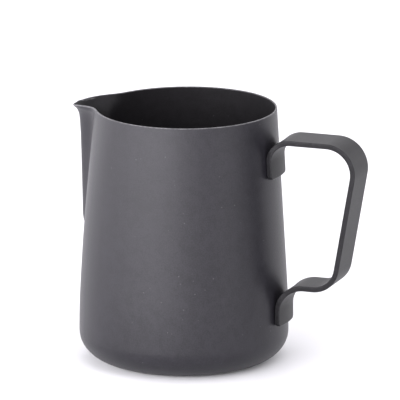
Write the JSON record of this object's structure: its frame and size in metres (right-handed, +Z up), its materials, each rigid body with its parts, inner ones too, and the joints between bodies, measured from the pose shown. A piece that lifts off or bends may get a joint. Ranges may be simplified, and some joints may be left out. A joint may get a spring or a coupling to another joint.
{
  "type": "milk frothing pitcher",
  "caption": "Black non-stick steel jug for steaming milk, with a rounded base, tapered wall, long pressed pouring spout and a flat-strip handle.",
  "frame": {"origin": "on the jug's axis, at the centre of its flat base", "axes": "+Z up along the jug's axis; +X towards the handle; -X towards the spout; Y across"},
  "size_m": [0.131, 0.0904, 0.111],
  "materials": {
    "black_nonstick": "matte black non-stick coat over stainless steel sheet",
    "black_nonstick_handle": "matte black non-stick coat over flat steel strip",
    "weld_steel": "fused steel, hidden between the tab and the wall"
  },
  "bodies": {
    "root": {"jug_body": "black_nonstick", "handle": "black_nonstick_handle", "spot_weld_upper_near": "weld_steel", "spot_weld_upper_far": "weld_steel", "spot_weld_lower_near": "weld_steel", "spot_weld_lower_far": "weld_steel"}
  },
  "joints": []
}
